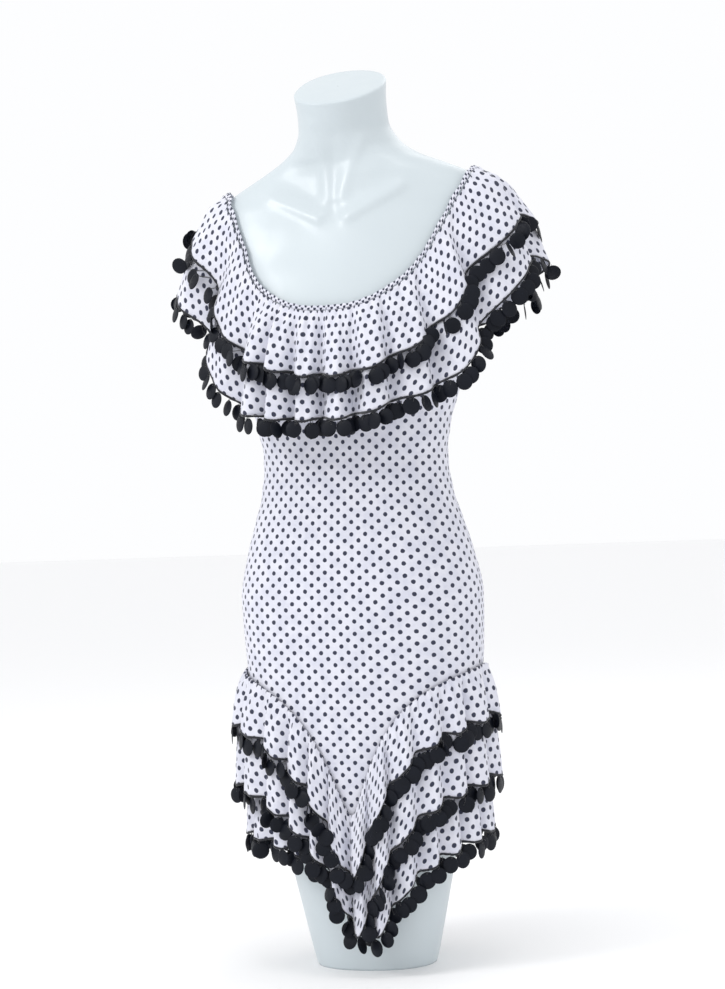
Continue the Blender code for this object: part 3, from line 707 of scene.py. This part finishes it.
def make_form(material):
    angles = np.arange(200) * FULL_TURN / 200
    stretches = ((0.0, 0.36, 24), (0.37, 0.89, 90), (0.894, 1.062, 70))  # from, to, rows
    heights = np.concatenate([np.linspace(*stretch) for stretch in stretches])
    rows = []
    for z in heights:
        radius = form_radius(angles, z)
        front = smooth_step(np.cos(angles) / 0.30)
        radius = radius + relief(radius * np.sin(angles), np.full(angles.shape, z)) * front
        points = place(angles, radius, z)
        points[:, 2] += math.tan(math.radians(float(form_column("tilt_deg", z)))) * points[:, 1]
        points[:, 1] -= float(form_column("lean", z))
        rows.append(points)
    rows[0][:, 2] = 0.003
    floor = np.zeros(len(angles))
    base = [np.column_stack([rows[0][:, :2] * share, floor]) for share in (0.01, 0.6, 0.985)]
    rim, centre = rows[-1], rows[-1].mean(axis=0)
    facing = unit(np.cross(rim[50] - centre, rim[100] - centre))
    facing = facing * np.sign(facing[2])
    rounding = ((0.988, 0.0012), (0.965, 0.0020), (0.90, 0.0023), (0.5, 0.0023), (0.01, 0.0023))
    cap = [centre + (rim - centre) * share + facing * rise for share, rise in rounding]
    points = np.stack(base + rows + cap)
    return make_object("form_skin", points, grid_faces(len(points), len(angles), True), [material])


def body_creases(angle, height):
    """Slight drag lines at the waist and under the bust, in metres."""
    side = 0.35 + 0.65 * np.abs(np.sin(angle))
    waist = np.exp(-(((height - 0.610) / 0.060) ** 2)) * np.sin(height * 190 + 2.2 * np.sin(angle * 2 + 0.6))
    bust = np.exp(-(((height - 0.690) / 0.040) ** 2)) * np.sin(height * 120 + 5.0 * angle)
    hip = np.exp(-(((height - 0.350) / 0.050) ** 2)) * np.sin(9 * angle + height * 60)
    return 0.00045 * side * waist + 0.0004 * bust + 0.0003 * hip


def make_panel(name, first, material):
    """Half of the fitted body, from one side seam to the other."""
    seam_turn = SEAM_GAP / 2 / 0.146
    angles = np.linspace(first + seam_turn, first + math.pi - seam_turn, 150)
    bottom = hem_line(angles, *HemTier("hem_ruffle_bottom").seam) - 2 * SEAM_GAP
    top = panel_top(angles)
    heights = bottom + (top - bottom) * np.linspace(0, 1, 170)[:, None]
    grid_angle = np.broadcast_to(angles, heights.shape)
    radius = panel_outside(grid_angle, heights) - SOLID_WALL / 2 + body_creases(grid_angle, heights)
    points = place(grid_angle, radius, heights)
    middle = first + math.pi / 2
    local = form_radius(grid_angle, heights)
    steps = np.diff(grid_angle, axis=1) * (local[:, 1:] + local[:, :-1]) / 2
    around = np.concatenate([np.zeros((len(heights), 1)), np.cumsum(steps, axis=1)], axis=1)
    around = around - around[:, len(angles) // 2, None]
    around = 0.55 * around + 0.45 * (grid_angle - middle) * 0.115
    cut = np.stack([around, heights], axis=-1)
    return make_sheet(name, points, cut, False, material)


def make_casing(material):
    """The narrow folded band that gathers the ruffles round the neckline."""
    upper = NeckTier("neck_ruffle_upper")
    angles = wave_columns(NECK_WAVES, 0.0, 40)
    joint = upper.point(angles, np.zeros(len(angles)), 0.0)
    below = upper.point(angles, np.full(len(angles), 0.004), 0.0)
    up = unit(joint - below)
    round_it = unit(np.roll(joint, -1, axis=0) - np.roll(joint, 1, axis=0))
    out = unit(np.cross(round_it, up))
    pinch = np.sin(118 * angles + 1.4 * np.sin(5 * angles)) * 0.00045
    tall = CASING_DEPTH / 2 + 0.0005 * np.sin(61 * angles + 2.0 * np.sin(7 * angles))
    rows = []
    for turn in np.linspace(0, FULL_TURN, 15)[:-1]:
        lift = np.sign(math.sin(turn)) * abs(math.sin(turn)) ** 0.6
        side = np.sign(math.cos(turn)) * abs(math.cos(turn)) ** 0.6
        centre = joint + up * (SEAM_GAP + CASING_DEPTH / 2)
        rows.append(centre + up * (tall * lift)[:, None] + out * ((CASING_WALL / 2 + pinch) * side)[:, None])
    points = np.stack(rows + rows[:1])[::-1]
    steps = np.linalg.norm(np.diff(np.vstack([joint, joint[:1]]), axis=0), axis=1)
    length = np.concatenate([[0], np.cumsum(steps)])
    across = np.linspace(0, 2 * CASING_DEPTH, len(points))
    cut = np.stack(np.meshgrid(length * 1.7, across), axis=-1)
    rows_count, columns = points.shape[0] - 1, points.shape[1]
    i, j = np.meshgrid(np.arange(rows_count), np.arange(columns), indexing="ij")
    faces = ring_faces(rows_count, columns)
    uv = np.stack([cut[i, j], cut[i, j + 1], cut[i + 1, j + 1], cut[i + 1, j]], axis=-2)
    return make_object("neck_casing_skin", points[:-1], faces, [material], uv)


def disc_template():
    """One domed disc round the origin, facing +Z, with its hole towards +Y."""
    around = np.arange(20) * FULL_TURN / 20
    rings = ((0.0, 1.0), (0.55, 0.70), (0.90, 0.22), (1.0, 0.0))
    points, faces = [], []
    for side in (1, -1):
        points.append([(0.0, 0.0, DISC_DOME + side * DISC_THICKNESS / 2)])
        for share, dome in rings[1:]:
            rim = 0.45 if share == 1.0 else 1.0
            z = DISC_DOME * dome + side * DISC_THICKNESS / 2 * rim
            out = share * DISC_RADIUS
            points.append([(out * math.sin(a), out * math.cos(a), z) for a in around])
    offsets = np.cumsum([0] + [len(p) for p in points])
    count = len(around)
    for side, first in ((1, 0), (-1, 4)):
        for i in range(count):
            j = (i + 1) % count
            ends = (offsets[first + 1] + i, offsets[first + 1] + j)
            faces.append((offsets[first], *(ends[::-1] if side == 1 else ends)))
            for ring in (1, 2):
                a, b = offsets[first + ring], offsets[first + ring + 1]
                quad = (a + i, a + j, b + j, b + i)
                faces.append(quad if side == 1 else quad[::-1])
    outer, inner = offsets[3], offsets[7]
    for i in range(count):
        j = (i + 1) % count
        faces.append((outer + i, outer + j, inner + j, inner + i))
    return np.array([p for ring in points for p in ring]), faces


def tube(path, radius, sides=4):
    """A closed thin tube along a path."""
    path = np.asarray(path, float)
    along = unit(np.gradient(path, axis=0))
    helper = np.where(np.abs(along[:, 2:3]) > 0.9, np.array([[1.0, 0.0, 0.0]]), np.array([[0.0, 0.0, 1.0]]))
    first = unit(np.cross(along, helper))
    second = np.cross(along, first)
    turns = np.arange(sides) * FULL_TURN / sides
    ring = np.cos(turns)[None, :, None] * first[:, None, :]
    ring = ring + np.sin(turns)[None, :, None] * second[:, None, :]
    points = (path[:, None, :] + ring * radius).reshape(-1, 3)
    faces = [tuple(f) for f in grid_faces(len(path), sides, True)]
    faces.append(tuple(range(sides))[::-1])
    faces.append(tuple(range(len(points) - sides, len(points))))
    return points, faces


class Collected:
    """Gathers many small shapes into one mesh of several materials."""

    def __init__(self):
        self.points, self.faces, self.material = [], [], []
        self.count = 0

    def add(self, points, faces, material):
        self.points.append(points)
        self.faces.extend(tuple(int(v) + self.count for v in face) for face in faces)
        self.material.extend([material] * len(faces))
        self.count += len(points)

    def make(self, name, materials):
        return make_object(name, np.vstack(self.points), self.faces, materials, face_material=self.material)


def look_up(surface, spots):
    """Distance from the axis to a ruffle at given spots."""
    angles, heights, table = surface
    turn = np.arctan2(spots[..., 0], -spots[..., 1]) % FULL_TURN
    whole = np.concatenate([angles, angles[:1] + FULL_TURN])
    grid = np.concatenate([table, table[:1]])
    turn = np.where(turn < whole[0], turn + FULL_TURN, turn)
    i = np.clip(np.searchsorted(whole, turn, side="right") - 1, 0, len(whole) - 2)
    s = (turn - whole[i]) / (whole[i + 1] - whole[i])
    level = np.clip(spots[..., 2] / heights[-1] * (len(heights) - 1), 0, len(heights) - 1.001)
    j = level.astype(int)
    t = level - j
    low = grid[i, j] * (1 - s) + grid[i + 1, j] * s
    high = grid[i, j + 1] * (1 - s) + grid[i + 1, j + 1] * s
    return low * (1 - t) + high * t


def smooth_edge_frame(tier, angles):
    """The edge without its folds: outward normal, and the way down the cloth, square to the edge."""
    _, down = tier.reach(angles)
    here = tier.point(angles, down, 0.0)
    left = tier.point(angles - SMALL_ANGLE, tier.reach(angles - SMALL_ANGLE)[1], 0.0)
    right = tier.point(angles + SMALL_ANGLE, tier.reach(angles + SMALL_ANGLE)[1], 0.0)
    higher = tier.point(angles, down - 0.003, 0.0)
    along = unit(right - left)
    outward = unit(np.cross(along, higher - here))
    return outward, unit(np.cross(along, outward))


def make_trim(name, ruffle, beneath, materials, seed):
    """A crocheted heading along a ruffle's edge, and the discs and loose threads that hang from it."""
    rng = np.random.default_rng(seed)
    tier = make_tier(ruffle)
    angles, points, _ = tier.grid()
    edge = points[0]
    down_cloth = unit(points[0] - points[1])
    along = unit(np.roll(edge, -1, axis=0) - np.roll(edge, 1, axis=0))
    outward = unit(np.cross(along, -down_cloth))
    made = Collected()
    steps = np.linalg.norm(np.roll(edge, -1, axis=0) - edge, axis=1)
    length = np.concatenate([[0], np.cumsum(steps)])
    add_heading(made, edge, down_cloth, outward, length)
    total = length[-1]
    count = int(round(total / DISC_PITCH))
    wanted = (np.arange(count) + rng.uniform(-0.16, 0.16, count)) / count * total
    wanted = np.clip(wanted, 0, total - 1e-6)
    looped = {key: np.vstack([value, value[:1]]) for key, value in (("edge", edge), ("down", down_cloth))}
    at = {}
    for key, value in looped.items():
        at[key] = np.stack([np.interp(wanted, length, value[:, k]) for k in range(3)], axis=-1)
    turn = np.interp(wanted, length, np.append(angles, angles[0] + FULL_TURN))
    outward, square = smooth_edge_frame(tier, turn)
    lie = rng.uniform(0.35, 0.75, count)[:, None]
    hang = unit(square * (1 - lie) + at["down"] * 0.3 + np.array([0, 0, -1.0]) * lie)
    across = unit(np.cross(hang, outward))
    outward = unit(np.cross(across, hang))
    swing = rng.normal(0, 0.16, count)[:, None]
    swung = unit(hang * np.cos(swing) + across * np.sin(swing))
    across = unit(across * np.cos(swing) - hang * np.sin(swing))
    hang = swung
    twisted = rng.random(count) < 0.16
    far_round = rng.uniform(0.7, 1.4, count) * rng.choice([-1, 1], count)
    a_little = 0.24 + rng.normal(0, 0.16, count)
    yaw = np.where(twisted, far_round, a_little)[:, None]
    face = unit(outward * np.cos(yaw) + across * np.sin(yaw))
    across = unit(np.cross(hang, face))
    root = at["edge"] + unit(at["down"]) * (SEAM_GAP + HEADING_DEPTH)
    drop = DISC_RADIUS * 0.80 + rng.uniform(0.0008, 0.0035, count)[:, None]
    centre = root + hang * drop
    if beneath is not None:
        centre = centre + outward * clearance(beneath, centre, across, hang, outward)[:, None]
    template, faces = disc_template()
    for i in range(count):
        size = rng.uniform(0.94, 1.04)
        shape = template * size
        spots = centre[i] + shape[:, :1] * across[i] - shape[:, 1:2] * hang[i] + shape[:, 2:] * face[i]
        made.add(spots, faces, 0)
        hole = centre[i] - hang[i] * DISC_RADIUS * 0.78 * size + face[i] * (DISC_DOME * 0.5 + DISC_THICKNESS)
        for side in (-1, 1):
            start = root[i] + across[i] * 0.0011 * side
            bend = (start + hole) / 2 + outward[i] * 0.0008 + across[i] * 0.0006 * side
            made.add(*tube([start, bend, hole], THREAD_RADIUS), 1)
        if rng.random() < 0.5:
            add_loose_thread(made, rng, root[i], outward[i], across[i])
    piece = made.make(name + "_discs", materials)
    return piece, centre


def add_heading(made, edge, down_cloth, outward, length):
    """A narrow crocheted band that grips the cloth's edge, with a small bump for each stitch."""
    stitch = np.sin(length[:-1] / 0.0034 * FULL_TURN)
    centre = edge + down_cloth * (SEAM_GAP + HEADING_DEPTH * 0.35)
    rows = []
    for turn in np.arange(8) * FULL_TURN / 8:
        tall = HEADING_DEPTH / 2 * (1 + 0.22 * stitch) * math.cos(turn)
        deep = HEADING_THICKNESS / 2 * (1 + 0.20 * stitch) * math.sin(turn)
        rows.append(centre + down_cloth * tall[:, None] + outward * deep[:, None])
    points = np.stack(rows)
    sides, columns = points.shape[:2]
    faces = ring_faces(sides, columns)
    made.add(points.reshape(-1, 3), [tuple(f) for f in faces], 1)


def add_loose_thread(made, rng, root, outward, across):
    reach = rng.uniform(0.004, 0.010)
    side = rng.normal(0, 0.35)
    start = root + across * rng.uniform(-0.005, 0.005)
    steps = np.linspace(0, 1, 4)[:, None]
    path = start + np.array([0, 0, -1.0]) * reach * steps + across * side * reach * steps**2
    path = path + outward * 0.0016 * np.sin(steps * 2.5)
    made.add(*tube(path, THREAD_RADIUS * 0.9), 1)


def clearance(beneath, centre, across, hang, outward):
    """How far each disc moves out to hang clear of the ruffle beneath it."""
    reach = np.array([-1.0, -0.5, 0.0, 0.5, 1.0]) * DISC_RADIUS
    u, v = np.meshgrid(reach, reach)
    spots = (
        centre[:, None, None, :]
        + u[None, :, :, None] * across[:, None, None, :]
        + v[None, :, :, None] * hang[:, None, None, :]
    )
    inside = (u**2 + v**2 <= (DISC_RADIUS * 1.05) ** 2)[None]
    free = np.hypot(spots[..., 0], spots[..., 1]) - look_up(beneath, spots)
    free = np.where(inside, free, 1.0).min(axis=(1, 2))
    radial = unit(centre * np.array([1.0, 1.0, 0.0]))
    squareness = np.maximum((radial * outward).sum(axis=1), 0.35)
    return np.maximum(0.0, (WALL / 2 + DISC_THICKNESS + 0.0012 - free) / squareness)


def make_floor_and_light():
    floor_material = Shader("pale_floor", (0.95, 0.95, 0.955), 0.8)
    size = 12.0
    corners = np.array([[-size, -size, 0], [size, -size, 0], [size, size, 0], [-size, size, 0]], float)
    floor = make_object("floor", corners, [(0, 1, 2, 3)], [floor_material.material], smooth=False)
    world = bpy.data.worlds.new("studio")
    bpy.context.scene.world = world
    world.use_nodes = True
    background = world.node_tree.nodes["Background"]
    background.inputs["Color"].default_value = (0.985, 0.99, 1.0, 1.0)
    background.inputs["Strength"].default_value = 1.0
    # Name, azimuth, elevation, distance, size, power in watts
    for name, azimuth, elevation, away, width, power in (
        ("key", -48, 30, 3.0, 0.9, 24),
        ("fill", 75, 15, 3.2, 2.0, 4),
        ("top", 10, 75, 2.6, 0.8, 8),
        ("rim", 165, 40, 3.0, 1.6, 8),
    ):
        light = bpy.data.lights.new(name, "AREA")
        light.energy = power
        light.size = width
        lamp = bpy.data.objects.new(name, light)
        a, e = math.radians(azimuth), math.radians(elevation)
        way = Vector((math.sin(a) * math.cos(e), -math.cos(a) * math.cos(e), math.sin(e)))
        lamp.location = Vector((0, 0, 0.6)) + way * away
        lamp.rotation_mode = "QUATERNION"
        lamp.rotation_quaternion = way.to_track_quat("Z", "Y")
        bpy.context.scene.collection.objects.link(lamp)


def make_camera():
    data = bpy.data.cameras.new("camera")
    data.sensor_fit = "AUTO"
    data.sensor_width = SENSOR
    data.lens = SENSOR / 2 / math.tan(math.radians(PICTURE_HEIGHT_DEG / 2))
    camera = bpy.data.objects.new("camera", data)
    azimuth, elevation = math.radians(CAMERA_AZIMUTH_DEG), math.radians(CAMERA_ELEVATION_DEG)
    level = math.cos(elevation)
    back = Vector((math.sin(azimuth) * level, -math.cos(azimuth) * level, math.sin(elevation)))
    right = Vector((math.cos(azimuth), math.sin(azimuth), 0.0))
    target = Vector((0, 0, CAMERA_TARGET_HEIGHT))
    camera.location = target + back * CAMERA_DISTANCE - right * CAMERA_AXIS_OFFSET
    camera.rotation_mode = "QUATERNION"
    roll = Quaternion((0, 0, 1), math.radians(CAMERA_ROLL_DEG))
    camera.rotation_quaternion = (-back).to_track_quat("-Z", "Y") @ roll
    bpy.context.scene.collection.objects.link(camera)
    bpy.context.scene.camera = camera


def settle(piece, slot, *nodes):
    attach(piece, "root")
    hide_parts(*nodes)


def main():
    bpy.context.scene.view_settings.view_transform = "Standard"
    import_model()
    make_camera()
    make_floor_and_light()
    plastic, discs, yarn = make_moulded_plastic(), make_disc_satin(), make_yarn()
    ruffle_jersey = make_jersey("jersey_ruffle", (0.0132, 0.0200), 0.00290)
    body_jersey = make_jersey("jersey_body", (0.0175, 0.0146), 0.00265)
    settle(make_form(plastic), "form_plastic", "display_form")
    for node, first in (("front_panel", -math.pi / 2), ("back_panel", math.pi / 2)):
        panel = make_panel(node + "_skin", first, body_jersey)
        settle(panel, "dotted_jersey", node)
    casing = make_casing(ruffle_jersey)
    settle(casing, "dotted_jersey", "neck_casing")
    surfaces = {}
    for name in (*NECK_TIERS, *HEM_TIERS):
        tier = make_tier(name)
        _, points, cut = tier.grid()
        piece = make_sheet(name + "_skin", points, cut, True, ruffle_jersey)
        settle(piece, "dotted_jersey", name)
        surfaces[name] = tier.radius_map()
    for seed, (name, ruffle) in enumerate(TRIMMED.items()):
        piece, centres = make_trim(name, ruffle, surfaces.get(UNDER.get(ruffle)), [discs, yarn], seed + 3)
        print("discs", name, len(centres))
        settle(piece, "black_trim", name)


main()
